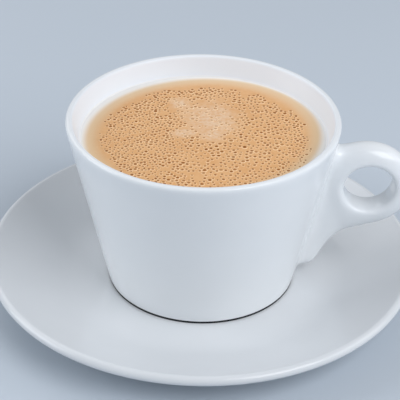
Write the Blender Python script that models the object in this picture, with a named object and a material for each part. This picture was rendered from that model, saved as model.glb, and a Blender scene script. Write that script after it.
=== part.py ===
# A cup of tea with milk on its saucer: glazed porcelain, filled to a finger below the rim.
# Metres, +Z up. The saucer stands on Z = 0 and its axis is the Z axis, which the cup shares.
# The cup's handle points along +X and stays within the saucer's edge.

import math

import bmesh
import bpy

# Cup: a straight taper with a round rim, standing on a foot ring
CUP_RIM_RADIUS = 0.0440
CUP_RIM_HEIGHT = 0.06415
CUP_EDGE_RADIUS = 0.0310
CUP_EDGE_HEIGHT = 0.0061
CUP_RIM_THICKNESS = 0.0024
CUP_WALL_THICKNESS = 0.0040
CUP_FLOOR_HEIGHT = 0.0110
CUP_FLOOR_THICKNESS = 0.0034
CUP_FLOOR_RADIUS = 0.0260
CUP_FOOT_OUTER = 0.0309
CUP_FOOT_INNER = 0.0280
CUP_COLUMNS = 28
# Heights of the outer wall's rows: those that carry the handle, then one below the rim
HANDLE_ROWS = (0.0100, 0.0150, 0.0210, 0.0275, 0.0340, 0.0405, 0.0470, 0.0534)
UPPER_ROW = 0.0590
# Heights of the inner wall's rows, from the rim down
INNER_ROWS = (0.0570, 0.0460, 0.0340, 0.0225, 0.0155)

# Handle: a thick ring with a finger hole, joined to the wall by a flat web with a tail.
# Each radius has the half width of the handle there; both are of the control points.
RING_X = 0.0540
RING_Z = 0.0407
HOLE_RADIUS = 0.0080
HOLE_HALF_WIDTH = 0.0032
LIP_RADIUS = 0.0085
LIP_HALF_WIDTH = 0.0047
CREST_RADIUS = 0.0102
CREST_HALF_WIDTH = 0.0052
RING_RADIUS = 0.01475
RING_HALF_WIDTH = 0.0031
WEB_HALF_WIDTH = 0.0043
RING_SPOKES = 12
# Control points of the web as (x, z): its upper corner, three points between the ring and
# the wall, the hollow of its underside, and the tail down the wall to its round tip
WEB_CORNER = (0.0482, 0.0555)
WEB_MIDDLE = ((0.0426, 0.0470), (0.0413, 0.0405), (0.0422, 0.0337))
WEB_HOLLOW = (0.0469, 0.0232)
WEB_TAIL = ((0.0413, 0.0270), (0.0423, 0.0190), (0.0397, 0.0136), (0.0366, 0.0086))

# Tea
TEA_HEIGHT = 0.05745

# Saucer: a flat well, a knee, and a flare that ends in a round lip
SAUCER_RADIUS = 0.07075
SAUCER_LIP_HEIGHT = 0.01416
SAUCER_THICKNESS = 0.0032
LIP_SLOPE = 0.42
WELL_HEIGHT = 0.0053
WELL_RADIUS = 0.0380
KNEE_RADIUS = 0.0520
UNDERSIDE_HEIGHT = 0.0020
SAUCER_FOOT_OUTER = 0.0415
SAUCER_FOOT_INNER = 0.0380
SAUCER_SIDES = 60
# Where the upper face turns over into the lip's round
FLARE_END = SAUCER_RADIUS - SAUCER_THICKNESS / 2 * (1.0 + math.sin(math.atan(LIP_SLOPE)))

# The clearance between pieces that rest on each other
GAP = 0.0003

PORCELAIN = ((0.80, 0.83, 0.86), 0.12)
TEA = ((0.66, 0.38, 0.18), 0.30)


def clear_scene():
    for obj in list(bpy.data.objects):
        bpy.data.objects.remove(obj, do_unlink=True)


def material(name, colour, roughness):
    mat = bpy.data.materials.new(name)
    mat.use_nodes = True
    shader = mat.node_tree.nodes["Principled BSDF"]
    shader.inputs["Base Color"].default_value = (*colour, 1.0)
    shader.inputs["Roughness"].default_value = roughness
    shader.inputs["Metallic"].default_value = 0.0
    return mat


def add_object(name, bm, mat):
    bmesh.ops.recalc_face_normals(bm, faces=bm.faces)
    mesh = bpy.data.meshes.new(name)
    bm.to_mesh(mesh)
    bm.free()
    mesh.materials.append(mat)
    mesh.shade_smooth()
    obj = bpy.data.objects.new(name, mesh)
    bpy.context.scene.collection.objects.link(obj)
    return obj


def subdivide(obj):
    """Turn a control cage into the smooth surface that it stands for."""
    smooth = obj.modifiers.new("Subdivision", "SUBSURF")
    smooth.levels = 1
    smooth.render_levels = 1


def column_angles(count):
    """Angles of the turned columns, with one column's middle on +X."""
    return [(k - 0.5) * math.tau / count for k in range(count)]


def cage_spread(count):
    """How far a ring of control points stands out so that its smooth curve has the true radius."""
    return 6.0 / (4.0 + 2.0 * math.cos(math.tau / count))


def turned(bm, profile, angles, skip=()):
    """Turn a profile of (radius, height) pairs, and close its two ends with flat faces.

    skip holds the (row, column) faces that are left out, for something to be joined there.
    """
    count = len(angles)
    rings = [[bm.verts.new((radius * math.cos(a), radius * math.sin(a), height))
              for a in angles] for radius, height in profile]
    for row in range(len(rings) - 1):
        for k in range(count):
            if (row, k) in skip:
                continue
            n = (k + 1) % count
            bm.faces.new((rings[row][k], rings[row][n], rings[row + 1][n], rings[row + 1][k]))
    bm.faces.new(rings[0])
    bm.faces.new(rings[-1])
    return rings


def crease_ring(bm, ring):
    layer = bm.edges.layers.float.get("crease_edge") or bm.edges.layers.float.new("crease_edge")
    for a, b in zip(ring, ring[1:] + ring[:1]):
        bm.edges.get((a, b))[layer] = 1.0


def wall_share(height):
    """How far up the wall a height is, from 0 at its lower edge to 1 at the rim."""
    top = CUP_RIM_HEIGHT - CUP_RIM_THICKNESS / 2
    return (height - CUP_EDGE_HEIGHT) / (top - CUP_EDGE_HEIGHT)


def cup_outer(height):
    """The outer wall's radius."""
    return CUP_EDGE_RADIUS + wall_share(height) * (CUP_RIM_RADIUS - CUP_EDGE_RADIUS)


def cup_inner(height):
    """The inner wall's radius: the wall keeps its thickness, then thins just below the rim."""
    thinning = wall_share(height) ** 8 * (CUP_WALL_THICKNESS - CUP_RIM_THICKNESS)
    return cup_outer(height) - CUP_WALL_THICKNESS + thinning


def floor_corner(clear):
    """The control points where the inner wall turns into the floor, set in by a clearance."""
    floor = CUP_FLOOR_HEIGHT + clear
    return [(CUP_FLOOR_RADIUS - clear, floor), (CUP_FLOOR_RADIUS * 0.6, floor)]


def cup_profile():
    """Control points from the middle of the underside, round the rim, to the inside floor."""
    under = CUP_FLOOR_HEIGHT - CUP_FLOOR_THICKNESS
    foot = WELL_HEIGHT + GAP
    rim = CUP_RIM_HEIGHT - CUP_RIM_THICKNESS / 2
    recess = CUP_FOOT_INNER - 0.0010
    profile = [(recess * 0.5, under), (recess, under), (CUP_FOOT_INNER, foot),
               (CUP_FOOT_OUTER, foot), (CUP_EDGE_RADIUS, CUP_EDGE_HEIGHT)]
    profile += [(cup_outer(z), z) for z in (*HANDLE_ROWS, UPPER_ROW)]
    bulge = 0.52 * CUP_RIM_THICKNESS
    inset = 0.10 * CUP_RIM_THICKNESS
    proud = 0.07 * CUP_RIM_THICKNESS
    inside = CUP_RIM_RADIUS - CUP_RIM_THICKNESS
    profile += [(CUP_RIM_RADIUS + proud, rim), (CUP_RIM_RADIUS - inset, rim + bulge),
                (inside + inset, rim + bulge), (inside, rim)]
    profile += [(cup_inner(z), z) for z in INNER_ROWS]
    return profile + floor_corner(0.0)


def ring_point(radius, spoke):
    """A point round the finger hole, as (x, z); spoke 0 points away from the cup."""
    turn = spoke * math.tau / RING_SPOKES
    reach = radius * cage_spread(RING_SPOKES)
    return RING_X + reach * math.cos(turn), RING_Z + reach * math.sin(turn)


def add_handle(bm, wall):
    """Grow the handle out of the cup's wall.

    wall holds the two sides of the open column, from its top row down. Every station of
    the handle is a pair of points too, one at each side of the XZ plane.
    """
    def pair(x, z, half):
        return [bm.verts.new((x, side * half, z)) for side in (-1.0, 1.0)]

    def loop(radius, half, spokes):
        return [pair(*ring_point(radius, k), half) for k in spokes]

    spokes = range(RING_SPOKES)
    hole = loop(HOLE_RADIUS, HOLE_HALF_WIDTH, spokes)
    lip = loop(LIP_RADIUS, LIP_HALF_WIDTH, spokes)
    crest = loop(CREST_RADIUS, CREST_HALF_WIDTH, spokes)
    # Spokes 4 to 8 face the cup, and meet the web in place of the ring's round edge
    corner = pair(*WEB_CORNER, RING_HALF_WIDTH)
    middle = [pair(*point, WEB_HALF_WIDTH) for point in WEB_MIDDLE]
    hollow = pair(*WEB_HOLLOW, WEB_HALF_WIDTH)
    upper_edge = loop(RING_RADIUS, RING_HALF_WIDTH, range(4))
    lower_edge = loop(RING_RADIUS, RING_HALF_WIDTH, range(9, RING_SPOKES))
    outer = [*upper_edge, corner, *middle, hollow, *lower_edge]
    tail = [pair(*point, WEB_HALF_WIDTH) for point in WEB_TAIL]
    web_edge = [corner, *middle, *tail]
    outline = [wall[0], corner, *reversed(upper_edge), *reversed(lower_edge), hollow,
               *tail[1:], wall[-1]]
    for k in spokes:
        n = (k + 1) % RING_SPOKES
        bm.faces.new((hole[k][0], hole[n][0], hole[n][1], hole[k][1]))
        for side in (0, 1):
            for a, b in ((hole, lip), (lip, crest), (crest, outer)):
                bm.faces.new((a[k][side], a[n][side], b[n][side], b[k][side]))
    for a, b in zip(outline, outline[1:]):
        bm.faces.new((a[0], b[0], b[1], a[1]))
    for side in (0, 1):
        for row in range(len(wall) - 1):
            bm.faces.new((wall[row][side], wall[row + 1][side],
                          web_edge[row + 1][side], web_edge[row][side]))
        bm.faces.new((middle[-1][side], tail[0][side], tail[1][side], hollow[side]))


def make_cup(mat):
    bm = bmesh.new()
    spread = cage_spread(CUP_COLUMNS)
    profile = [(radius * spread, z) for radius, z in cup_profile()]
    first = [z for _, z in profile].index(HANDLE_ROWS[0])
    last = first + len(HANDLE_ROWS) - 1
    open_column = {(row, 0) for row in range(first, last)}
    rings = turned(bm, profile, column_angles(CUP_COLUMNS), open_column)
    for ring in rings[2:5]:
        crease_ring(bm, ring)
    wall = [(rings[row][0], rings[row][1]) for row in range(last, first - 1, -1)]
    add_handle(bm, wall)
    cup = add_object("cup", bm, mat)
    subdivide(cup)
    return cup


def make_tea(mat):
    """The drink: the cup's inside up to its level, a clearance away from the wall."""
    bm = bmesh.new()
    spread = cage_spread(CUP_COLUMNS)
    profile = [((cup_inner(TEA_HEIGHT) - GAP) * 0.5, TEA_HEIGHT),
               (cup_inner(TEA_HEIGHT) - GAP, TEA_HEIGHT)]
    profile += [(cup_inner(z) - GAP, z) for z in INNER_ROWS[1:]]
    profile += floor_corner(GAP)
    rings = turned(bm, [(radius * spread, z) for radius, z in profile],
                   column_angles(CUP_COLUMNS))
    crease_ring(bm, rings[1])
    tea = add_object("tea", bm, mat)
    subdivide(tea)
    return tea


def knee_slope():
    """The slope at the knee that brings the lip out at its height."""
    lean = math.atan(LIP_SLOPE)
    end_height = SAUCER_LIP_HEIGHT - SAUCER_THICKNESS / 2 * (1 - math.cos(lean))
    flare = FLARE_END - KNEE_RADIUS
    bend = KNEE_RADIUS - WELL_RADIUS
    return (end_height - WELL_HEIGHT - LIP_SLOPE * flare / 2) / ((bend + flare) / 2)


def saucer_face(radius):
    """Height and slope of the saucer's upper face.

    The slope grows along an S-curve from the well to the knee, then evenly to the lip.
    """
    knee = knee_slope()
    width = KNEE_RADIUS - WELL_RADIUS
    bend = min(max((radius - WELL_RADIUS) / width, 0.0), 1.0)
    flare = max(radius - KNEE_RADIUS, 0.0)
    gain = (LIP_SLOPE - knee) / (FLARE_END - KNEE_RADIUS)
    height = knee * (width * (bend ** 3 - bend ** 4 / 2) + flare) + gain * flare ** 2 / 2
    return WELL_HEIGHT + height, knee * (3 - 2 * bend) * bend ** 2 + gain * flare


def stations(start, end, count):
    return [start + (end - start) * k / count for k in range(count + 1)]


def lip_points(steps):
    """The round edge: half a turn from the upper face to the lower one."""
    height, slope = saucer_face(FLARE_END)
    lean = math.atan(slope)
    half = SAUCER_THICKNESS / 2
    middle_radius = FLARE_END + half * math.sin(lean)
    middle_height = height - half * math.cos(lean)
    points = []
    for step in range(1, steps):
        turn = math.pi / 2 + lean - step * math.pi / steps
        points.append((middle_radius + half * math.cos(turn),
                       middle_height + half * math.sin(turn)))
    return points


def underside(radius):
    """The point of the lower face that lies straight through the wall from a radius."""
    height, slope = saucer_face(radius)
    lean = math.atan(slope)
    return (radius + SAUCER_THICKNESS * math.sin(lean),
            height - SAUCER_THICKNESS * math.cos(lean))


def make_saucer(mat):
    bend = stations(WELL_RADIUS, KNEE_RADIUS, 5)
    flare = stations(KNEE_RADIUS, FLARE_END, 4)
    upper = [(radius, saucer_face(radius)[0]) for radius in (WELL_RADIUS / 2, *bend, *flare[1:])]
    lower = [underside(radius) for radius in (*reversed(flare), *reversed(bend[2:-1]))]
    round_edge = 0.0003
    foot = [(SAUCER_FOOT_OUTER + round_edge, lower[-1][1]), (SAUCER_FOOT_OUTER, round_edge),
            (SAUCER_FOOT_OUTER - round_edge, 0.0), (SAUCER_FOOT_INNER + round_edge, 0.0),
            (SAUCER_FOOT_INNER, round_edge),
            (SAUCER_FOOT_INNER - round_edge, UNDERSIDE_HEIGHT),
            (SAUCER_FOOT_INNER / 3, UNDERSIDE_HEIGHT)]
    bm = bmesh.new()
    turned(bm, [*upper, *lip_points(6), *lower, *foot],
           [k * math.tau / SAUCER_SIDES for k in range(SAUCER_SIDES)])
    saucer = add_object("saucer", bm, mat)
    saucer.data.set_sharp_from_angle(angle=math.radians(35))
    return saucer


def main():
    clear_scene()
    porcelain = material("glazed_porcelain", *PORCELAIN)
    make_saucer(porcelain)
    make_cup(porcelain)
    make_tea(material("milk_tea", *TEA))


main()
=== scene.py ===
# %% [markdown]
# # A cup of tea with milk, on its saucer
#
# The real thing is three pieces: a saucer and a cup of white glazed porcelain, and the drink in
# the cup with its skin of fine froth. The solids already have the true sizes, so they are loaded
# first, as a fixed frame. Everything below is the finish: smoother surfaces, glaze, the drink's
# edge, some thirteen hundred bubbles, and the light to see them by. All lengths are metres.

import math
import random

import bmesh
import bpy
from mathutils import Matrix, Vector, noise


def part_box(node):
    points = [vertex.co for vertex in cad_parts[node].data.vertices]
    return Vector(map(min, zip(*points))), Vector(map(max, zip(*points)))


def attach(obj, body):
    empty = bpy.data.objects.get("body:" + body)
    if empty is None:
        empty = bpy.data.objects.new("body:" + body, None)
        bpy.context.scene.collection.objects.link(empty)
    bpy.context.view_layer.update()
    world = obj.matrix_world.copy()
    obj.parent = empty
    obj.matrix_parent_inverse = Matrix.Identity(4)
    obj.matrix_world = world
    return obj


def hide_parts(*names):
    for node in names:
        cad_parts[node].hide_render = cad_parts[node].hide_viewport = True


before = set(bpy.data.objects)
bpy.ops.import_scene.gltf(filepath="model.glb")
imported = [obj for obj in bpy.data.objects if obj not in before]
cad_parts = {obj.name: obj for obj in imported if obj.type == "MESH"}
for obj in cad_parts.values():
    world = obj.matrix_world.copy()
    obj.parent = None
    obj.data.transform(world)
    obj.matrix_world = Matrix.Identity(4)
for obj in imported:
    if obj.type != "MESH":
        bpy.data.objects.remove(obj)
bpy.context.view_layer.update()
saucer_low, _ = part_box("saucer")
_, tea_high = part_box("tea")
MM = 0.001
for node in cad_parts:
    low, high = [[round(v / MM, 2) for v in corner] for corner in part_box(node)]
    print(node, "from", low, "to", high, "mm")

# %% [markdown]
# ## Camera
#
# The picture looks down into the cup from a little more than half a metre, through a long lens,
# which keeps the ellipses of rim and saucer even. A wide lens close by would show the same
# pieces with a swollen front edge. The camera is turned about its own axis by one degree, as a
# hand-held one is: the right side of the picture sits slightly lower.

# %% Place the camera
IMAGE_PIXELS = 400
FOCAL_PIXELS = 1628
SENSOR_WIDTH_MM = 36.0
CAMERA_DISTANCE = 0.535
CAMERA_ELEVATION = math.radians(32.487)
CAMERA_ROLL = math.radians(0.953)
CAMERA_TARGET = Vector((-0.0007, 0.0, 0.03273))

camera_data = bpy.data.cameras.new("camera")
camera_data.sensor_width = SENSOR_WIDTH_MM
camera_data.lens = FOCAL_PIXELS / IMAGE_PIXELS * SENSOR_WIDTH_MM
camera = bpy.data.objects.new("camera", camera_data)
back = Vector((0.0, -math.cos(CAMERA_ELEVATION), math.sin(CAMERA_ELEVATION)))
camera.location = CAMERA_TARGET + CAMERA_DISTANCE * back
turn_down = Matrix.Rotation(math.pi / 2 - CAMERA_ELEVATION, 3, "X")
camera.rotation_euler = (turn_down @ Matrix.Rotation(CAMERA_ROLL, 3, "Z")).to_euler()
bpy.context.scene.collection.objects.link(camera)
bpy.context.scene.camera = camera
print("lens", round(camera_data.lens, 1), "mm, camera at", [round(v, 3) for v in camera.location])

# %% [markdown]
# ## Colours and shader nodes
#
# A colour is easiest to write as a maker's hex code, but those codes are made for screens. A
# renderer adds up light, so each code goes through one function that turns it to linear light.
# The second helper adds one node with its settings and its links, for shaders and for Geometry
# Nodes alike, so that a material reads as a short list of what feeds what. The others are short
# names for what recurs: a mixed colour, an eased number, a drifting noise, a bump.

# %% Helpers for colours and nodes
def srgb(code):
    """The linear colour of a hex code such as #E9EDF1."""
    channels = [int(code[k:k + 2], 16) / 255 for k in (1, 3, 5)]
    return (*[c / 12.92 if c <= 0.04045 else ((c + 0.055) / 1.055) ** 2.4 for c in channels], 1.0)


def add_node(tree, kind, inputs=None, **settings):
    """Add a node. inputs holds a value or a link for each socket, by name or by number."""
    node = tree.nodes.new(kind)
    for name, value in settings.items():
        setattr(node, name, value)
    for name, value in (inputs or {}).items():
        if isinstance(value, bpy.types.NodeSocket):
            tree.links.new(value, node.inputs[name])
        else:
            node.inputs[name].default_value = value
    return node


# A Mix node that mixes colours keeps them in these sockets
MIX_FIRST, MIX_SECOND, MIX_RESULT = 6, 7, 2


def blend(tree, share, first, second):
    """The colour that lies a share of the way from the first one to the second."""
    sockets = {0: share, MIX_FIRST: first, MIX_SECOND: second}
    return add_node(tree, "ShaderNodeMix", sockets, data_type="RGBA").outputs[MIX_RESULT]


def ramp(tree, value, start, end, low=0.0, high=1.0):
    """A number that eases from low to high while a value goes from start to end."""
    sockets = {"Value": value, "From Min": start, "From Max": end, "To Min": low, "To Max": high}
    return add_node(tree, "ShaderNodeMapRange", sockets,
                    interpolation_type="SMOOTHSTEP").outputs["Result"]


def math_node(tree, operation, first, second=0.0):
    return add_node(tree, "ShaderNodeMath", {0: first, 1: second}, operation=operation).outputs[0]


def cloud(tree, place, size, detail=2.0):
    """A noise from 0 to 1 that drifts over about a size."""
    return add_node(tree, "ShaderNodeTexNoise",
                    {"Vector": place, "Scale": 1 / size, "Detail": detail}).outputs["Fac"]


def mottle(tree, place, size, colours, detail=2.0):
    """A pair of colours, mixed by a noise."""
    return blend(tree, cloud(tree, place, size, detail), srgb(colours[0]), srgb(colours[1]))


def add_bump(tree, shader, height, strength, depth):
    bump = add_node(tree, "ShaderNodeBump",
                    {"Height": height, "Strength": strength, "Distance": depth})
    tree.links.new(bump.outputs["Normal"], shader.inputs["Normal"])


def start_material(name):
    made = bpy.data.materials.new(name)
    made.use_nodes = True
    return made, made.node_tree, made.node_tree.nodes["Principled BSDF"]


def place_on_axis(tree):
    """Sockets for the place on a piece, its X, Y and Z, and its distance from the Z axis."""
    place = add_node(tree, "ShaderNodeTexCoord").outputs["Object"]
    parts = add_node(tree, "ShaderNodeSeparateXYZ", {"Vector": place}).outputs
    flat = add_node(tree, "ShaderNodeCombineXYZ", {"X": parts["X"], "Y": parts["Y"]}).outputs[0]
    radius = add_node(tree, "ShaderNodeVectorMath", {0: flat}, operation="LENGTH").outputs["Value"]
    return place, parts, radius


def add_mesh(name, bm, material=None):
    """Make an object of a bmesh, and free the bmesh."""
    mesh = bpy.data.meshes.new(name)
    bm.to_mesh(mesh)
    bm.free()
    if material:
        mesh.materials.append(material)
    made = bpy.data.objects.new(name, mesh)
    bpy.context.scene.collection.objects.link(made)
    return made


print("#E9EDF1 in linear light:", [round(c, 3) for c in srgb("#E9EDF1")])

# %% [markdown]
# ## Table and light
#
# The floor is plain and pale, so that the porcelain's soft edge and its shadow can be read. The
# light is a studio's. A broad panel on the right, in front, is the key: it lights the inside of
# the cup and the right of the handle. A low panel lights the left, so that the round of the wall
# shows brighter edges and a calm middle. Weak ones at the right and behind lift the far side,
# and the room's own light fills in the rest. Small lamps would make hard shadows.

# %% Make the floor and the studio light
FLOOR_SIZE = 4.0
FLOOR_CLOUD = 1 / 6
FLOOR_COLOURS = ("#BCC6D0", "#C1CAD3")
FLOOR_ROUGHNESS = 0.6
PANEL_SIZE = 0.70
PANEL_DISTANCE = 1.10
LIGHT_AIM = Vector((0.0, 0.0, 0.03))
# Each panel's azimuth from the front towards the right, elevation, watts and colour
PANELS = {
    "key_panel": (45, 42, 6.7, "#FBFCFF"),
    "left_panel": (272, 22, 5.6, "#F8FBFF"),
    "right_panel": (85, 30, 2.7, "#FBFCFF"),
    "back_panel": (220, 42, 1.7, "#FBFCFF"),
}
ROOM_LIGHT = ("#F4F8FF", 0.385)


def make_floor():
    paint, tree, shader = start_material("matt_painted_table")
    place = add_node(tree, "ShaderNodeTexCoord").outputs["Object"]
    colour = mottle(tree, place, FLOOR_CLOUD, FLOOR_COLOURS)
    tree.links.new(colour, shader.inputs["Base Color"])
    shader.inputs["Roughness"].default_value = FLOOR_ROUGHNESS
    bm = bmesh.new()
    bmesh.ops.create_grid(bm, x_segments=1, y_segments=1, size=FLOOR_SIZE / 2)
    floor = add_mesh("floor", bm, paint)


def add_panel(name, azimuth, elevation, watts, colour):
    """A square soft light that faces the cup from a direction."""
    data = bpy.data.lights.new(name, "AREA")
    data.shape = "SQUARE"
    data.size = PANEL_SIZE
    data.energy = watts
    data.color = srgb(colour)[:3]
    level, tilt = math.radians(azimuth), math.radians(elevation)
    out = Vector((math.sin(level) * math.cos(tilt), -math.cos(level) * math.cos(tilt),
                  math.sin(tilt)))
    light = bpy.data.objects.new(name, data)
    light.location = LIGHT_AIM + PANEL_DISTANCE * out
    light.rotation_euler = (-out).to_track_quat("-Z", "Y").to_euler()
    bpy.context.scene.collection.objects.link(light)


def light_room(colour, strength):
    world = bpy.data.worlds.new("studio")
    world.use_nodes = True
    background = world.node_tree.nodes["Background"]
    background.inputs["Color"].default_value = srgb(colour)
    background.inputs["Strength"].default_value = strength
    bpy.context.scene.world = world


make_floor()
for name, (azimuth, elevation, watts, colour) in PANELS.items():
    add_panel(name, azimuth, elevation, watts, colour)
light_room(*ROOM_LIGHT)
bpy.context.scene.view_settings.view_transform = "Standard"
print("lights:", [light.name for light in bpy.data.lights])

# %% [markdown]
# ## Glazed porcelain
#
# Porcelain tableware is cast or pressed, fired, dipped in glaze and fired again. The glaze is a
# layer of clear glass over a very white body: smooth, with a faint waviness that bends the
# reflections, and slightly cool where it lies thick. The cup's glaze is painted a little lighter
# and the saucer's a little greyer: painted light and painted shade on one white. The saucer's
# foot ring, which stood on the kiln shelf, is wiped bare and is a matt, dark grey brown. Round
# the cup's lower edge a band is painted near black and matt: painted shade for the narrow gap
# where the cup stands in the saucer. One material makes both: a mask takes all that lies below
# a height as this dark band. The cup's inside is painted whiter, as painted light, and is less
# glossy; a mask that follows the wall's slope adds it.

# %% Make the porcelain of the saucer
GLAZE_IOR = 1.5
GLAZE_ROUGHNESS, INSIDE_ROUGHNESS, BODY_ROUGHNESS = 0.14, 0.4, 0.75
# Painted light: the whiter glaze painted on the cup's inside
INSIDE_PAINTED_LIGHT = "#E6EBF1"
# Painted shade: the saucer's glaze is a greyer copy of the cup's white
SAUCER_GLAZE_SHADED = ("#D3D7DA", "#D8DBDE")
SAUCER_FOOT_GREY = ("#6F6A63", "#7C766D")
SAUCER_BARE_FOOT = 0.3 * MM
GLAZE_CLOUD = 22 * MM
BODY_GRIT = 0.5 * MM
GLAZE_WAVE = 14 * MM
WAVE_STRENGTH, WAVE_DEPTH = 0.25, 0.3 * MM


def porcelain(name, dark_band_top, glaze, bare_tone_and_shade, inside=None):
    """Glaze down to a height, and below it a darker band, which is the saucer's bare foot and
    painted shade round the cup's edge. Each colour is a pair, mixed by a noise.

    inside holds the wall's slope and the mask's start and end, for the whiter inside, which is
    painted light.
    """
    made, tree, shader = start_material(name)
    place, parts, radius = place_on_axis(tree)
    height = parts["Z"]
    glazed = mottle(tree, place, GLAZE_CLOUD, glaze, detail=3.0)
    gloss = GLAZE_ROUGHNESS
    if inside:
        slope, start, end = inside
        across = math_node(tree, "SUBTRACT", radius, math_node(tree, "MULTIPLY", height, slope))
        second = ramp(tree, across, start, end)
        glazed = blend(tree, second, glazed, srgb(INSIDE_PAINTED_LIGHT))
        gloss = ramp(tree, second, 0.0, 1.0, GLAZE_ROUGHNESS, INSIDE_ROUGHNESS)
    # Below the given height lies the darker band: the saucer's bare foot, and painted shade round
    # the cup's lower edge
    foot_and_gap_shade = math_node(tree, "LESS_THAN", height, dark_band_top)
    body = mottle(tree, place, BODY_GRIT, bare_tone_and_shade)
    tree.links.new(blend(tree, foot_and_gap_shade, glazed, body), shader.inputs["Base Color"])
    roughness = ramp(tree, foot_and_gap_shade, 0.0, 1.0, gloss, BODY_ROUGHNESS)
    tree.links.new(roughness, shader.inputs["Roughness"])
    shader.inputs["IOR"].default_value = GLAZE_IOR
    add_bump(tree, shader, cloud(tree, place, GLAZE_WAVE, detail=1.0), WAVE_STRENGTH, WAVE_DEPTH)
    return made


saucer_porcelain = porcelain("glazed_porcelain_saucer", saucer_low.z + SAUCER_BARE_FOOT,
                             SAUCER_GLAZE_SHADED, SAUCER_FOOT_GREY)
print("saucer bare below", round((saucer_low.z + SAUCER_BARE_FOOT) / MM, 2), "mm")

# %% [markdown]
# ## Turning a profile with Geometry Nodes
#
# A saucer is made on a wheel: a template with the shape of its section is held against the
# turning clay. The tree below does the same. It takes the section as a row of points, lays out
# a grid with one row for each point and one column for each step of the turn, and moves every
# grid point to its place on the wheel. Merging what coincides closes the seam and the two
# poles. The Screw modifier could turn a profile too, but here the sides stay a named input and
# the section's points are kept exactly.

# %% Build the turning tree
MERGE_DISTANCE = 0.002 * MM


def start_tree(name, inputs):
    """A Geometry Nodes tree with a geometry in and out, and named inputs as (name, type)."""
    tree = bpy.data.node_groups.new(name, "GeometryNodeTree")
    tree.interface.new_socket("Geometry", in_out="INPUT", socket_type="NodeSocketGeometry")
    tree.interface.new_socket("Geometry", in_out="OUTPUT", socket_type="NodeSocketGeometry")
    for title, kind in inputs:
        tree.interface.new_socket(title, in_out="INPUT", socket_type=kind)
    return tree, add_node(tree, "NodeGroupInput").outputs


def end_tree(tree, geometry, material):
    """Every tree ends alike: real meshes in place of instances, and their material."""
    real = add_node(tree, "GeometryNodeRealizeInstances", {"Geometry": geometry}).outputs[0]
    smooth = add_node(tree, "GeometryNodeSetShadeSmooth", {"Geometry": real}).outputs[0]
    painted = add_node(tree, "GeometryNodeSetMaterial",
                       {"Geometry": smooth, "Material": material}).outputs[0]
    add_node(tree, "NodeGroupOutput", {"Geometry": painted})


def turning_tree():
    tree, given = start_tree("turn_on_wheel", [("Sides", "NodeSocketInt"),
                                               ("Material", "NodeSocketMaterial")])
    size = add_node(tree, "GeometryNodeAttributeDomainSize", {"Geometry": given["Geometry"]})
    columns = math_node(tree, "ADD", given["Sides"], 1.0)
    grid = add_node(tree, "GeometryNodeMeshGrid",
                    {"Vertices X": size.outputs["Point Count"], "Vertices Y": columns})
    index = add_node(tree, "GeometryNodeInputIndex").outputs[0]
    # Half a step keeps the division clear of rounding where a row begins
    middle = math_node(tree, "ADD", index, 0.5)
    row = math_node(tree, "FLOOR", math_node(tree, "DIVIDE", middle, columns))
    column = math_node(tree, "SUBTRACT", index, math_node(tree, "MULTIPLY", row, columns))
    where = add_node(tree, "GeometryNodeInputPosition").outputs[0]
    station = add_node(tree, "GeometryNodeSampleIndex",
                       {"Geometry": given["Geometry"], "Value": where, "Index": row},
                       data_type="FLOAT_VECTOR")
    step = math_node(tree, "DIVIDE", math.tau, given["Sides"])
    angle = math_node(tree, "MULTIPLY", column, step)
    turned = add_node(tree, "ShaderNodeVectorRotate",
                      {"Vector": station.outputs[0], "Angle": angle}, rotation_type="Z_AXIS")
    placed = add_node(tree, "GeometryNodeSetPosition",
                      {"Geometry": grid.outputs["Mesh"], "Position": turned.outputs[0]})
    closed = add_node(tree, "GeometryNodeMergeByDistance",
                      {"Geometry": placed.outputs[0], "Distance": MERGE_DISTANCE})
    end_tree(tree, closed.outputs[0], given["Material"])
    return tree


def run_tree(name, mesh, tree, values):
    """Run a tree on a mesh once, and keep the result as a plain mesh object."""
    made = bpy.data.objects.new(name, mesh)
    bpy.context.scene.collection.objects.link(made)
    nodes = made.modifiers.new("Nodes", "NODES")
    nodes.node_group = tree
    for socket in tree.interface.items_tree:
        if socket.in_out == "INPUT" and socket.name in values:
            nodes[socket.identifier] = values[socket.name]
    graph = bpy.context.evaluated_depsgraph_get()
    result = bpy.data.meshes.new_from_object(made.evaluated_get(graph),
                                             preserve_all_data_layers=True, depsgraph=graph)
    made.modifiers.remove(nodes)
    made.data = result
    result.name = name
    return made


def polyline(name, points):
    """A row of (radius, height) points as a mesh of edges in the XZ plane."""
    mesh = bpy.data.meshes.new(name + "_section")
    mesh.from_pydata([(radius, 0.0, height) for radius, height in points],
                     [(k, k + 1) for k in range(len(points) - 1)], [])
    return mesh


def report(piece):
    """Print a piece's triangles, its volume and its size, and so also which way it faces."""
    graph = bpy.context.evaluated_depsgraph_get()
    bm = bmesh.new()
    bm.from_object(piece, graph)
    bmesh.ops.triangulate(bm, faces=bm.faces)
    spans = [max(v.co[k] for v in bm.verts) - min(v.co[k] for v in bm.verts) for k in range(3)]
    open_edges = sum(1 for edge in bm.edges if len(edge.link_faces) != 2)
    print(piece.name, len(bm.faces), "triangles,", round(bm.calc_volume(signed=True) / MM ** 3),
          "mm3,", [round(v / MM, 2) for v in spans], "mm,", open_edges, "open edges")
    bm.free()


wheel = turning_tree()
print("turning tree with", len(wheel.nodes), "nodes")

# %% [markdown]
# ## Saucer
#
# The saucer's upper face has three parts: a flat well that the cup stands in, a knee where the
# face turns up, and a flare whose slope grows evenly to the lip. The slope is what the eye
# reads in a reflection, so the face is made from its slope: an S-curve over the knee, then a
# straight line to the lip, and the height follows by adding the slope up. The lip is half a
# circle. The underside runs one wall thickness below, down to the foot ring.

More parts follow.
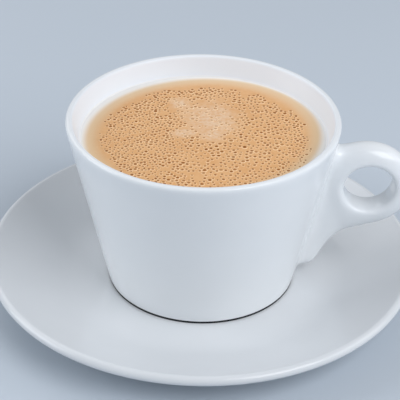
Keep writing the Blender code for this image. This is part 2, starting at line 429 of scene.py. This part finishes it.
# %% Work out the saucer's section
SAUCER_RADIUS = 0.07075
SAUCER_LIP_HEIGHT = 0.01416
SAUCER_THICKNESS = 0.0032
LIP_SLOPE = 0.42
WELL_HEIGHT = 0.0053
WELL_RADIUS = 0.0380
KNEE_RADIUS = 0.0520
UNDERSIDE_HEIGHT = 0.0020
SAUCER_FOOT_OUTER = 0.0415
SAUCER_FOOT_INNER = 0.0380
FOOT_ROUND = 0.0003
# The lower face follows the upper one from the lip in to this radius, and then meets the foot
UNDERSIDE_START = 0.0436
SAUCER_SIDES = 240
KNEE_STEPS, FLARE_STEPS, LIP_STEPS, UNDERSIDE_STEPS = 16, 20, 24, 24
LEAN = math.atan(LIP_SLOPE)
FLARE_END = SAUCER_RADIUS - SAUCER_THICKNESS / 2 * (1.0 + math.sin(LEAN))


def knee_slope():
    """The slope at the knee that brings the lip out at its height."""
    end_height = SAUCER_LIP_HEIGHT - SAUCER_THICKNESS / 2 * (1 - math.cos(LEAN))
    flare = FLARE_END - KNEE_RADIUS
    bend = KNEE_RADIUS - WELL_RADIUS
    return (end_height - WELL_HEIGHT - LIP_SLOPE * flare / 2) / ((bend + flare) / 2)


def saucer_face(radius):
    """Height and slope of the upper face."""
    knee = knee_slope()
    width = KNEE_RADIUS - WELL_RADIUS
    bend = min(max((radius - WELL_RADIUS) / width, 0.0), 1.0)
    flare = max(radius - KNEE_RADIUS, 0.0)
    gain = (LIP_SLOPE - knee) / (FLARE_END - KNEE_RADIUS)
    height = knee * (width * (bend ** 3 - bend ** 4 / 2) + flare) + gain * flare ** 2 / 2
    return WELL_HEIGHT + height, knee * (3 - 2 * bend) * bend ** 2 + gain * flare


def stations(start, end, count):
    return [start + (end - start) * k / count for k in range(count + 1)]


def underside(radius):
    """The point of the lower face that lies straight through the wall from a radius."""
    height, slope = saucer_face(radius)
    lean = math.atan(slope)
    return radius + SAUCER_THICKNESS * math.sin(lean), height - SAUCER_THICKNESS * math.cos(lean)


def round_lip(steps):
    """Half a circle from the upper face over to the lower one."""
    height, slope = saucer_face(FLARE_END)
    lean = math.atan(slope)
    half = SAUCER_THICKNESS / 2
    middle = (FLARE_END + half * math.sin(lean), height - half * math.cos(lean))
    turns = [math.pi / 2 + lean - step * math.pi / steps for step in range(1, steps)]
    return [(middle[0] + half * math.cos(turn), middle[1] + half * math.sin(turn))
            for turn in turns]


def round_corner(corner, size, start, steps=4):
    """A quarter circle inside a corner, as a foot ring's edge is wiped round."""
    x, z = corner
    return [(x + size * math.cos(start - k * math.pi / 2 / steps),
             z + size * math.sin(start - k * math.pi / 2 / steps)) for k in range(steps + 1)]


def saucer_section():
    """Points from the middle of the upper face, round the lip, to the middle of the underside."""
    radii = [0.0, WELL_RADIUS / 2, *stations(WELL_RADIUS, KNEE_RADIUS, KNEE_STEPS),
             *stations(KNEE_RADIUS, FLARE_END, FLARE_STEPS)[1:]]
    upper = [(radius, saucer_face(radius)[0]) for radius in radii]
    lower = [underside(radius)
             for radius in reversed(stations(UNDERSIDE_START, FLARE_END, UNDERSIDE_STEPS))]
    foot = [(SAUCER_FOOT_OUTER + FOOT_ROUND, lower[-1][1])]
    foot += round_corner((SAUCER_FOOT_OUTER - FOOT_ROUND, FOOT_ROUND), FOOT_ROUND, 0.0)
    foot += round_corner((SAUCER_FOOT_INNER + FOOT_ROUND, FOOT_ROUND), FOOT_ROUND, -math.pi / 2)
    foot += [(SAUCER_FOOT_INNER - FOOT_ROUND, UNDERSIDE_HEIGHT), (0.0, UNDERSIDE_HEIGHT)]
    return [*upper, *round_lip(LIP_STEPS), *lower, *foot]


# %% Turn the saucer
saucer = run_tree("saucer_glazed", polyline("saucer", saucer_section()), wheel,
                  {"Sides": SAUCER_SIDES, "Material": saucer_porcelain})
report(saucer)
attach(saucer, "root")
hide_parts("saucer")

# %% [markdown]
# ## Cup
#
# The cup is cast in one go with its handle, so wall and handle flow into each other without an
# edge. That is the case where a subdivision surface is at its best: a coarse cage of control
# points that Blender rounds off. The wall is a turned cage with one column left open on the
# right, and the handle grows out of that opening. The cage has the same named sizes as the
# solid, with the surface refined further, so both have one form.

# %% Name the cup's sizes
CUP_RIM_RADIUS = 0.0440
CUP_RIM_HEIGHT = 0.06415
CUP_EDGE_RADIUS = 0.0310
CUP_EDGE_HEIGHT = 0.0061
CUP_RIM_THICKNESS = 0.0024
CUP_RIM_MIDDLE = CUP_RIM_HEIGHT - CUP_RIM_THICKNESS / 2
# How the rim's control points stand over its middle, in from its sides, and out from the wall
RIM_BULGE, RIM_INSET, RIM_PROUD = [share * CUP_RIM_THICKNESS for share in (0.52, 0.10, 0.07)]
CUP_WALL_THICKNESS = 0.0040
# The wall thins towards the rim with this power of the height
THINNING_POWER = 8
CUP_FLOOR_HEIGHT = 0.0110
CUP_FLOOR_THICKNESS = 0.0034
CUP_FLOOR_RADIUS = 0.0260
CUP_FOOT_OUTER = 0.0309
CUP_FOOT_INNER = 0.0280
CUP_RECESS_RADIUS = 0.0270
# The radii of the innermost control points below and on the floor
CUP_UNDER_RING, CUP_FLOOR_RING = 0.0135, 0.0156
CUP_COLUMNS = 28
CUP_LEVELS = 3
# The solid keeps clear of the saucer by 0.3 mm; the finished foot stands on it
FOOT_LIFT = 0.00002
HANDLE_ROWS = (0.0100, 0.0150, 0.0210, 0.0275, 0.0340, 0.0405, 0.0470, 0.0534)
UPPER_ROW = 0.0590
INNER_ROWS = (0.0570, 0.0460, 0.0340, 0.0225, 0.0155)


def wall_share(height):
    """How far up the wall a height is, from 0 at its lower edge to 1 at the rim."""
    return (height - CUP_EDGE_HEIGHT) / (CUP_RIM_MIDDLE - CUP_EDGE_HEIGHT)


def cup_outer(height):
    return CUP_EDGE_RADIUS + wall_share(height) * (CUP_RIM_RADIUS - CUP_EDGE_RADIUS)


def cup_inner(height):
    """The inner wall's radius: the wall keeps its thickness, then thins just below the rim."""
    thinning = wall_share(height) ** THINNING_POWER * (CUP_WALL_THICKNESS - CUP_RIM_THICKNESS)
    return cup_outer(height) - CUP_WALL_THICKNESS + thinning


def cage_spread(count):
    """How far a ring of control points stands out so that its smooth curve has the true radius."""
    return 6.0 / (4.0 + 2.0 * math.cos(math.tau / count))


def cup_section():
    """Control points from the middle of the underside, round the rim, to the inside floor."""
    under = CUP_FLOOR_HEIGHT - CUP_FLOOR_THICKNESS
    foot = WELL_HEIGHT + FOOT_LIFT
    crest = CUP_RIM_MIDDLE + RIM_BULGE
    inside = CUP_RIM_RADIUS - CUP_RIM_THICKNESS
    return [(CUP_UNDER_RING, under), (CUP_RECESS_RADIUS, under),
            (CUP_FOOT_INNER, foot), (CUP_FOOT_OUTER, foot), (CUP_EDGE_RADIUS, CUP_EDGE_HEIGHT),
            *[(cup_outer(z), z) for z in (*HANDLE_ROWS, UPPER_ROW)],
            (CUP_RIM_RADIUS + RIM_PROUD, CUP_RIM_MIDDLE), (CUP_RIM_RADIUS - RIM_INSET, crest),
            (inside + RIM_INSET, crest), (inside, CUP_RIM_MIDDLE),
            *[(cup_inner(z), z) for z in INNER_ROWS],
            (CUP_FLOOR_RADIUS, CUP_FLOOR_HEIGHT), (CUP_FLOOR_RING, CUP_FLOOR_HEIGHT)]


print("cup section with", len(cup_section()), "control points")

# %% [markdown]
# ### Handle
#
# The handle is a thick ring round a finger hole, with a flat web to the wall and a tail that
# runs down it. Its control points lie in loops round the hole, from the hole's wall over a
# soft crest to the outer edge, and every point has a twin on the other side.

# %% Name the handle's sizes
RING_X = 0.0540
RING_Z = 0.0407
HOLE_RADIUS = 0.0080
HOLE_HALF_WIDTH = 0.0032
LIP_RADIUS = 0.0085
LIP_HALF_WIDTH = 0.0047
CREST_RADIUS = 0.0102
CREST_HALF_WIDTH = 0.0052
RING_RADIUS = 0.01475
RING_HALF_WIDTH = 0.0031
WEB_HALF_WIDTH = 0.0043
RING_SPOKES = 12
WEB_CORNER = (0.0482, 0.0555)
WEB_MIDDLE = ((0.0426, 0.0470), (0.0413, 0.0405), (0.0422, 0.0337))
WEB_HOLLOW = (0.0469, 0.0232)
WEB_TAIL = ((0.0413, 0.0270), (0.0423, 0.0190), (0.0397, 0.0136), (0.0366, 0.0086))


def ring_point(radius, spoke):
    """A point round the finger hole, as (x, z); spoke 0 points away from the cup."""
    turn = spoke * math.tau / RING_SPOKES
    reach = radius * cage_spread(RING_SPOKES)
    return RING_X + reach * math.cos(turn), RING_Z + reach * math.sin(turn)


def add_handle(bm, wall):
    """Grow the handle out of the open column, whose two sides are given from its top down."""
    def pair(x, z, half):
        return [bm.verts.new((x, side * half, z)) for side in (-1.0, 1.0)]

    def loop(radius, half, spokes):
        return [pair(*ring_point(radius, k), half) for k in spokes]

    spokes = range(RING_SPOKES)
    hole = loop(HOLE_RADIUS, HOLE_HALF_WIDTH, spokes)
    lip = loop(LIP_RADIUS, LIP_HALF_WIDTH, spokes)
    crest = loop(CREST_RADIUS, CREST_HALF_WIDTH, spokes)
    # Spokes 4 to 8 face the cup, and meet the web in place of the ring's round edge
    corner = pair(*WEB_CORNER, RING_HALF_WIDTH)
    middle = [pair(*point, WEB_HALF_WIDTH) for point in WEB_MIDDLE]
    hollow = pair(*WEB_HOLLOW, WEB_HALF_WIDTH)
    upper_edge = loop(RING_RADIUS, RING_HALF_WIDTH, range(4))
    lower_edge = loop(RING_RADIUS, RING_HALF_WIDTH, range(9, RING_SPOKES))
    outer = [*upper_edge, corner, *middle, hollow, *lower_edge]
    tail = [pair(*point, WEB_HALF_WIDTH) for point in WEB_TAIL]
    web_edge = [corner, *middle, *tail]
    outline = [wall[0], corner, *reversed(upper_edge), *reversed(lower_edge), hollow,
               *tail[1:], wall[-1]]
    for k in spokes:
        n = (k + 1) % RING_SPOKES
        bm.faces.new((hole[k][0], hole[n][0], hole[n][1], hole[k][1]))
        for side in (0, 1):
            for a, b in ((hole, lip), (lip, crest), (crest, outer)):
                bm.faces.new((a[k][side], a[n][side], b[n][side], b[k][side]))
    for a, b in zip(outline, outline[1:]):
        bm.faces.new((a[0], b[0], b[1], a[1]))
    for side in (0, 1):
        for row in range(len(wall) - 1):
            bm.faces.new((wall[row][side], wall[row + 1][side],
                          web_edge[row + 1][side], web_edge[row][side]))
        bm.faces.new((middle[-1][side], tail[0][side], tail[1][side], hollow[side]))


# %% Cast the cup with its handle
def crease_ring(bm, ring):
    layer = bm.edges.layers.float.get("crease_edge") or bm.edges.layers.float.new("crease_edge")
    for a, b in zip(ring, ring[1:] + ring[:1]):
        bm.edges.get((a, b))[layer] = 1.0


def cup_cage():
    bm = bmesh.new()
    spread = cage_spread(CUP_COLUMNS)
    angles = [(k - 0.5) * math.tau / CUP_COLUMNS for k in range(CUP_COLUMNS)]
    section = cup_section()
    rings = [[bm.verts.new((spread * radius * math.cos(a), spread * radius * math.sin(a), height))
              for a in angles] for radius, height in section]
    first = [z for _, z in section].index(HANDLE_ROWS[0])
    last = first + len(HANDLE_ROWS) - 1
    for row in range(len(rings) - 1):
        for k in range(CUP_COLUMNS):
            if k == 0 and first <= row < last:
                continue
            n = (k + 1) % CUP_COLUMNS
            bm.faces.new((rings[row][k], rings[row][n], rings[row + 1][n], rings[row + 1][k]))
    bm.faces.new(rings[0])
    bm.faces.new(rings[-1])
    # The foot ring's two edges and the wall's lower edge stay sharp
    for ring in rings[2:5]:
        crease_ring(bm, ring)
    add_handle(bm, [(rings[row][0], rings[row][1]) for row in range(last, first - 1, -1)])
    bmesh.ops.recalc_face_normals(bm, faces=bm.faces)
    return bm


WALL_SLOPE = (CUP_RIM_RADIUS - CUP_EDGE_RADIUS) / (CUP_RIM_HEIGHT - CUP_EDGE_HEIGHT)
# Painted light: the cup's glaze is a lighter copy of the saucer's white
CUP_GLAZE_LIT = ("#E2E6E9", "#E7EAEC")
# Painted shade: near black round the cup's lower edge, for the shadowed gap where it stands in the
# saucer
CUP_GAP_SHADE = ("#0C0F14", "#14171C")
CUP_GAP_SHADE_RISE = 0.06 * MM
# The painted whiter inside begins and is full this far inside the line along the middle
# of the rim
INSIDE_LIGHT_BEGINS, INSIDE_LIGHT_IS_FULL = 0.1 * MM, 0.9 * MM
# That line's radius at height zero, where the mask measures
wall_middle = CUP_EDGE_RADIUS - CUP_EDGE_HEIGHT * WALL_SLOPE - CUP_RIM_THICKNESS / 2
cup_porcelain = porcelain("glazed_porcelain_cup", CUP_EDGE_HEIGHT + CUP_GAP_SHADE_RISE,
                          CUP_GLAZE_LIT, CUP_GAP_SHADE,
                          (WALL_SLOPE, wall_middle - INSIDE_LIGHT_BEGINS, wall_middle - INSIDE_LIGHT_IS_FULL))
cup = add_mesh("cup_glazed", cup_cage(), cup_porcelain)
cup.data.shade_smooth()
rounding = cup.modifiers.new("Subdivision", "SUBSURF")
rounding.levels = CUP_LEVELS
rounding.render_levels = CUP_LEVELS
report(cup)
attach(cup, "root")
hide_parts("cup")

# %% [markdown]
# ## Tea with milk
#
# Milk makes tea cloudy: light goes in a few millimetres and comes out again as a soft tan. Near
# the wall the drink is only a thin wedge over white porcelain, so its colour pales to a
# yellowish film, and over the last three millimetres to the porcelain's white. Right at the wall
# it is painted a grey white near the wall's tone, painted shade that keeps the curve there from
# showing as a bright line, and it loses its shine. Where the finest froth lies thick it is paler
# too, in a patch behind the middle. The froth needs the same colours, so one function adds them
# to either material, and both fit together wherever the bubbles sit.

# %% Mix the tea's colour
TEA_LEVEL = tea_high.z
TEA_EDGE = cup_inner(TEA_LEVEL)
TEA_IOR = 1.34
TEA_ROUGHNESS, EDGE_ROUGHNESS = 0.28, 0.6
TEA_TAN, TEA_BROWN, TEA_GRAIN = "#E1AE78", "#DCA66F", "#E8BB8B"
# The last one is painted shade: greyer than the edge's white, for the curve at the wall
PATCH_PALE, FILM_PALE, EDGE_WHITE, CREEP_SHADE = "#EBD3B9", "#E4C59D", "#F3F0EA", "#E9E8E7"
# The pale froth's four lobes: place of the middle, half length along X, half length along Y
PATCH_LOBES = ((2.5 * MM, 10.8 * MM, 9.8 * MM, 12.5 * MM),
               (-7.8 * MM, 20.2 * MM, 4.0 * MM, 4.5 * MM),
               (-6.2 * MM, 1.0 * MM, 4.8 * MM, 3.3 * MM),
               (2.8 * MM, 0.6 * MM, 4.8 * MM, 5.0 * MM))
# How much a noise frays the patch, and where it fades, in half lengths from a lobe's middle
PATCH_FRAY = 0.9
PATCH_ENDS, PATCH_IS_FULL = 1.75, 0.65
# Where the film, the white edge and the creeping rim begin and are full, in from the wall
FILM_BEGINS, FILM_IS_FULL = TEA_EDGE - 7.7 * MM, TEA_EDGE - 2.5 * MM
WHITE_BEGINS, WHITE_IS_FULL = TEA_EDGE - 3.05 * MM, TEA_EDGE - 0.2 * MM
CREEP_BEGINS = TEA_EDGE - 0.8 * MM
# How far the film's edge moves in at the back on the left, and out at the back on the right,
# for each metre along X and each metre along Y
FILM_TWIST = 1.5
DRIFT_SIZE, GRAIN_SIZE, FOAM_SIZE = 6 * MM, 1.1 * MM, 0.8 * MM
# Ramps over these noises: from and to which value, and the shares of a colour that they give
BROWN_RAMP = (0.3, 0.7, 0.0, 1.0)
GRAIN_RAMP = (0.35, 0.75, 0.0, 0.35)
WISP_RAMP = (0.2, 0.8, 0.15, 0.75)
FOAM_STRENGTH, FOAM_DEPTH = 0.3, 0.05 * MM


def pale_patch(tree, place, drift):
    """How much of the pale froth lies at a place: the most that any of its lobes gives."""
    patch = 0.0
    for x, y, along, across in PATCH_LOBES:
        centred = add_node(tree, "ShaderNodeVectorMath", {0: place, 1: (x, y, TEA_LEVEL)},
                           operation="SUBTRACT").outputs[0]
        scaled = add_node(tree, "ShaderNodeVectorMath", {0: centred, 1: (along, across, 1.0)},
                          operation="DIVIDE").outputs[0]
        away = add_node(tree, "ShaderNodeVectorMath", {0: scaled},
                        operation="LENGTH").outputs["Value"]
        frayed = math_node(tree, "ADD", away, math_node(tree, "MULTIPLY", drift, PATCH_FRAY))
        patch = math_node(tree, "MAXIMUM", patch, ramp(tree, frayed, PATCH_ENDS, PATCH_IS_FULL))
    return patch


def tea_colour(tree, place, parts, radius):
    """Add the nodes of the drink's colour. Return its socket, the pale patch's and the edge's."""
    drift = cloud(tree, place, DRIFT_SIZE, detail=3.0)
    grain = cloud(tree, place, GRAIN_SIZE)
    patch = pale_patch(tree, place, drift)
    tan = blend(tree, ramp(tree, drift, *BROWN_RAMP), srgb(TEA_TAN), srgb(TEA_BROWN))
    grained = blend(tree, ramp(tree, grain, *GRAIN_RAMP), tan, srgb(TEA_GRAIN))
    wisps = math_node(tree, "MULTIPLY", patch, ramp(tree, grain, *WISP_RAMP))
    frothy = blend(tree, wisps, grained, srgb(PATCH_PALE))
    lean = math_node(tree, "MULTIPLY", parts["Y"], FILM_TWIST)
    across = math_node(tree, "SUBTRACT", radius, math_node(tree, "MULTIPLY", parts["X"], lean))
    film = blend(tree, ramp(tree, across, FILM_BEGINS, FILM_IS_FULL), frothy, srgb(FILM_PALE))
    edge = ramp(tree, across, WHITE_BEGINS, WHITE_IS_FULL)
    whitened = blend(tree, edge, film, srgb(EDGE_WHITE))
    # Painted shade: the curve at the wall is greyer, so that it does not show as a bright line
    creep = ramp(tree, radius, CREEP_BEGINS, TEA_EDGE)
    return blend(tree, creep, whitened, srgb(CREEP_SHADE)), patch, edge


def milk_tea():
    made, tree, shader = start_material("tea_with_milk")
    place, parts, radius = place_on_axis(tree)
    colour, _, edge = tea_colour(tree, place, parts, radius)
    tree.links.new(colour, shader.inputs["Base Color"])
    roughness = ramp(tree, edge, 0.0, 1.0, TEA_ROUGHNESS, EDGE_ROUGHNESS)
    tree.links.new(roughness, shader.inputs["Roughness"])
    shader.inputs["IOR"].default_value = TEA_IOR
    foam = add_node(tree, "ShaderNodeTexVoronoi",
                    {"Vector": place, "Scale": 1 / FOAM_SIZE}).outputs["Distance"]
    add_bump(tree, shader, foam, FOAM_STRENGTH, FOAM_DEPTH)
    return made


tea_material = milk_tea()
print("tea level", round(TEA_LEVEL / MM, 2), "mm, edge radius", round(TEA_EDGE / MM, 2), "mm")

# %% [markdown]
# ### The drink's body
#
# A liquid creeps up a wetted wall: the surface is flat, then curves up until it runs along the
# wall. Nearly a quarter of a circle draws that. It ends in the wall's own direction, so no line
# shows where porcelain and drink meet. The piece is turned on the same wheel as the saucer, and
# it reaches a quarter of a millimetre into the porcelain, so that there is no gap.

# %% Turn the drink
TEA_SIDES = 192
CREEP_RADIUS = 0.45 * MM
BITE = 0.25 * MM
FLOOR_CORNER = 1.5 * MM
TEA_TOP_STEPS, CREEP_STEPS, TEA_SIDE_STEPS = 16, 12, 12
WALL_LEAN = math.atan(WALL_SLOPE)


def tea_section():
    """The free surface from its middle, up the curve at the wall, then down inside the wall."""
    end = math.pi / 2 - WALL_LEAN
    contact = TEA_LEVEL + CREEP_RADIUS * (1 - math.cos(end))
    start = cup_inner(contact) - CREEP_RADIUS * math.sin(end)
    top = [(radius, TEA_LEVEL) for radius in stations(0.0, start, TEA_TOP_STEPS)]
    creep = [(start + CREEP_RADIUS * math.sin(turn),
              TEA_LEVEL + CREEP_RADIUS * (1 - math.cos(turn)))
             for turn in stations(0.0, end, CREEP_STEPS)[1:]]
    side = [(cup_inner(z) + BITE, z) for z in stations(contact, INNER_ROWS[-1], TEA_SIDE_STEPS)]
    floor = CUP_FLOOR_HEIGHT - BITE
    return [*top, *creep, *side, (CUP_FLOOR_RADIUS, floor + FLOOR_CORNER),
            (CUP_FLOOR_RADIUS - FLOOR_CORNER, floor), (0.0, floor)]


tea = run_tree("tea_with_milk", polyline("tea", tea_section()), wheel,
               {"Sides": TEA_SIDES, "Material": tea_material})
report(tea)
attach(tea, "root")
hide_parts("tea")

# %% [markdown]
# ## Froth
#
# Stirring milk into tea leaves a skin of tiny bubbles. Each is a thin dome in a collar of pale
# milk, and the eye sees a dark dot, since light that enters the dome is lost below. They pack
# closely where they were driven to the edge and on the left, and lie larger and looser in the
# middle and on the right. A texture of dots would lie flat and vanish from the side, so each
# bubble is a small mesh of a few faces. First comes where they sit: darts are thrown with a
# fixed seed, and one is kept if it is clear of its neighbours by its own spacing.

# %% Throw the bubbles
FROTH_SEED = 7
FROTH_RADIUS = 34.0 * MM
# The froth has drifted forwards from the cup's axis
FROTH_MIDDLE = (0.6 * MM, -2.1 * MM)
DARTS = 90000
# Mean radius, and the distance that is kept between two middles
SMALL_BUBBLE, SMALL_SPACING = 0.41 * MM, 1.10 * MM
LARGE_BUBBLE, LARGE_SPACING = 0.44 * MM, 1.43 * MM
# How widely the radii scatter, and the largest as a multiple of the mean
BUBBLE_SCATTER, BUBBLE_LARGEST = 0.17, 1.4
# The froth's outer belt, its left side and its fringe: where each one begins and is full
BELT = (23 * MM, 28 * MM)
LEFT_SIDE = (-2 * MM, 14 * MM)
FRINGE = (FROTH_RADIUS - 2.0 * MM, FROTH_RADIUS + 0.5 * MM)
# How far a noise of one size shifts these three
SHIFT_SIZE = 5 * MM
BELT_SHIFT, LEFT_SHIFT, FRINGE_SHIFT = 2.5 * MM, 4 * MM, 2 * MM
BELT_FINENESS = 0.75
# In the belt the bubbles are smaller by one share, but larger by another behind
SMALLER_IN_BELT, LARGER_BEHIND = 0.04, 0.13
BEHIND = (0.0, 20 * MM)
# They are smallest at the far left
SMALLER_FAR_LEFT = 0.08
FAR_LEFT = (10 * MM, 24 * MM)
# The share of the bubbles that is kept, and how much less it is in the pale patch
BUBBLES_KEPT, LOST_IN_PATCH = 0.94, 0.5
# The pale patch fades for the bubbles over the last part of this reach, in half lengths
PATCH_REACH, PATCH_FADE = 1.15, 0.35


def patch_share(x, y):
    """How far a point lies in the pale patch, from 0 outside to 1 in its middle."""
    away = min(math.hypot((x - lobe[0]) / lobe[2], (y - lobe[1]) / lobe[3]) for lobe in PATCH_LOBES)
    return min(max((PATCH_REACH - away) / PATCH_FADE, 0.0), 1.0)


def ease(value, start, end):
    share = min(max((value - start) / (end - start), 0.0), 1.0)
    return share * share * (3 - 2 * share)


def froth_at(x, y):
    """The bubbles' mean size, their spacing, and the share of them that is left, at a point."""
    radius = math.hypot(x - FROTH_MIDDLE[0], y - FROTH_MIDDLE[1])
    patchy = noise.noise(Vector((x, y, 0.0)) / SHIFT_SIZE)
    belt = ease(radius + patchy * BELT_SHIFT, *BELT)
    left = ease(-x + patchy * LEFT_SHIFT, *LEFT_SIDE)
    fine = max(BELT_FINENESS * belt, left)
    size = LARGE_BUBBLE + (SMALL_BUBBLE - LARGE_BUBBLE) * fine
    spacing = LARGE_SPACING + (SMALL_SPACING - LARGE_SPACING) * fine
    kept = BUBBLES_KEPT * (1 - LOST_IN_PATCH * patch_share(x, y))
    kept *= 1 - ease(radius + patchy * FRINGE_SHIFT, *FRINGE)
    size *= 1 + belt * (LARGER_BEHIND * ease(y, *BEHIND) - SMALLER_IN_BELT)
    size *= 1 - SMALLER_FAR_LEFT * ease(-x - abs(y), *FAR_LEFT)
    return size, spacing, kept


def throw_bubbles():
    draw = random.Random(FROTH_SEED)
    # Darts are filed by square cell, so that each one is compared with its neighbours only
    cell = SMALL_SPACING
    reach = range(-2, 3)
    kept = {}
    for _ in range(DARTS):
        radius = FROTH_RADIUS * math.sqrt(draw.random())
        turn = draw.uniform(0.0, math.tau)
        x, y = FROTH_MIDDLE[0] + radius * math.cos(turn), FROTH_MIDDLE[1] + radius * math.sin(turn)
        size, spacing, share = froth_at(x, y)
        home = (math.floor(x / cell), math.floor(y / cell))
        near = [other for i in reach for j in reach
                for other in kept.get((home[0] + i, home[1] + j), ())]
        if any(math.hypot(x - other[0], y - other[1]) < spacing for other in near):
            continue
        spread = min(draw.lognormvariate(0.0, BUBBLE_SCATTER), BUBBLE_LARGEST)
        kept.setdefault(home, []).append((x, y, size * spread, draw.random() < share))
    return [(x, y, size) for group in kept.values() for x, y, size, shown in group if shown]


bubbles = throw_bubbles()
widths = sorted(2 * size / MM for _, _, size in bubbles)
print(len(bubbles), "bubbles,", round(widths[0], 2), "to", round(widths[-1], 2), "mm across")

# %% [markdown]
# ### One bubble, and all of them
#
# The template is an eight-sided dome on a collar, closed below. An attribute called tone
# says how dark each of its rings is, from the pale collar to the dark crown, and the material
# reads it. The crown's dark is painted shade for the light lost in the dome; the collar's pale
# is the milk's own colour with a painted glint. Geometry Nodes put a copy on every point, turned
# and scaled by the point's own values, and make the copies real.

# %% Build the froth
BUBBLE_SIDES = 8
# Each ring of the template as radius, height and tone, from the skirt in to the crown
BUBBLE_RINGS = ((1.60, -0.06, 0.30), (1.24, 0.14, 0.0), (0.85, 0.28, 0.90))
BUBBLE_CROWN = (0.38, 1.0)
# The least and the most that a bubble is stretched along its own axes, and how dark it is
BUBBLE_STRETCH = ((0.85, 0.85, 0.7), (1.15, 1.15, 1.2))
BUBBLE_STRENGTH = (0.55, 1.0)
# The crown's dark is painted shade; the collar's pale is milk with a painted glint
BUBBLE_SHADE, COLLAR_PALE_AND_GLINT = "#8A4C08", "#FFE6C0"
# The share of a bubble's darkness that is left in the pale patch
STRENGTH_IN_PATCH = 0.45
BUBBLE_ROUGHNESS, BUBBLE_SPECULAR = 0.6, 0.2


def bubble_template():
    bm = bmesh.new()
    tone = bm.verts.layers.float.new("tone")
    rings = []
    for radius, height, shade in BUBBLE_RINGS:
        ring = []
        for k in range(BUBBLE_SIDES):
            turn = k * math.tau / BUBBLE_SIDES
            vert = bm.verts.new((radius * math.cos(turn), radius * math.sin(turn), height))
            vert[tone] = shade
            ring.append(vert)
        rings.append(ring)
    crown = bm.verts.new((0.0, 0.0, BUBBLE_CROWN[0]))
    crown[tone] = BUBBLE_CROWN[1]
    for k in range(BUBBLE_SIDES):
        n = (k + 1) % BUBBLE_SIDES
        for outer, inner in zip(rings, rings[1:]):
            bm.faces.new((outer[k], outer[n], inner[n], inner[k]))
        bm.faces.new((rings[-1][k], rings[-1][n], crown))
    bm.faces.new(rings[0][::-1])
    return add_mesh("bubble_form", bm)


def froth_points():
    """A mesh of bare points, with each bubble's radius as an attribute."""
    mesh = bpy.data.meshes.new("froth_points")
    mesh.from_pydata([(x, y, TEA_LEVEL) for x, y, _ in bubbles], [], [])
    sizes = mesh.attributes.new("bubble_radius", "FLOAT", "POINT")
    sizes.data.foreach_set("value", [size for _, _, size in bubbles])
    return mesh


def froth_tree():
    tree, given = start_tree("froth", [("Bubble", "NodeSocketObject"), ("Seed", "NodeSocketInt"),
                                       ("Material", "NodeSocketMaterial")])
    template = add_node(tree, "GeometryNodeObjectInfo", {"Object": given["Bubble"]})
    size = add_node(tree, "GeometryNodeInputNamedAttribute", {"Name": "bubble_radius"},
                    data_type="FLOAT")
    turn = add_node(tree, "FunctionNodeRandomValue",
                    {"Min": (0.0, 0.0, 0.0), "Max": (0.0, 0.0, math.tau), "Seed": given["Seed"]},
                    data_type="FLOAT_VECTOR")
    least, most = BUBBLE_STRETCH
    stretch = add_node(tree, "FunctionNodeRandomValue",
                       {"Min": least, "Max": most, "Seed": given["Seed"]}, data_type="FLOAT_VECTOR")
    scale = add_node(tree, "ShaderNodeVectorMath",
                     {0: stretch.outputs[0], "Scale": size.outputs[0]}, operation="SCALE")
    copies = add_node(tree, "GeometryNodeInstanceOnPoints",
                      {"Points": given["Geometry"], "Instance": template.outputs["Geometry"],
                       "Rotation": turn.outputs[0], "Scale": scale.outputs[0]})
    # For plain numbers this node keeps its least and most in sockets 2 and 3, and its result in 1
    least, most = BUBBLE_STRENGTH
    strength = add_node(tree, "FunctionNodeRandomValue",
                        {2: least, 3: most, "Seed": given["Seed"]}, data_type="FLOAT")
    marked = add_node(tree, "GeometryNodeStoreNamedAttribute",
                      {"Geometry": copies.outputs[0], "Name": "strength",
                       "Value": strength.outputs[1]}, data_type="FLOAT", domain="INSTANCE")
    end_tree(tree, marked.outputs[0], given["Material"])
    return tree


def froth_material():
    made, tree, shader = start_material("milk_froth")
    colour, patch, _ = tea_colour(tree, *place_on_axis(tree))
    tone = add_node(tree, "ShaderNodeAttribute", attribute_name="tone").outputs["Fac"]
    strength = add_node(tree, "ShaderNodeAttribute", attribute_name="strength").outputs["Fac"]
    shown = ramp(tree, patch, 0.0, 1.0, 1.0, STRENGTH_IN_PATCH)
    softened = math_node(tree, "MULTIPLY", strength, shown)
    # The skirt's tone has the drink's own colour, the collar's is paler with a painted glint,
    # the crown's is darker with painted shade
    skirt_tone = BUBBLE_RINGS[0][2]
    dark = math_node(tree, "MULTIPLY", ramp(tree, tone, skirt_tone, 1.0), softened)
    collar = blend(tree, ramp(tree, tone, skirt_tone, 0.0), colour, srgb(COLLAR_PALE_AND_GLINT))
    tree.links.new(blend(tree, dark, collar, srgb(BUBBLE_SHADE)), shader.inputs["Base Color"])
    shader.inputs["Roughness"].default_value = BUBBLE_ROUGHNESS
    shader.inputs["IOR"].default_value = TEA_IOR
    shader.inputs["Specular IOR Level"].default_value = BUBBLE_SPECULAR
    return made


bubble_form = bubble_template()
froth = run_tree("froth_bubbles", froth_points(), froth_tree(),
                 {"Bubble": bubble_form, "Seed": FROTH_SEED, "Material": froth_material()})
bpy.data.objects.remove(bubble_form)
report(froth)
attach(froth, "root")
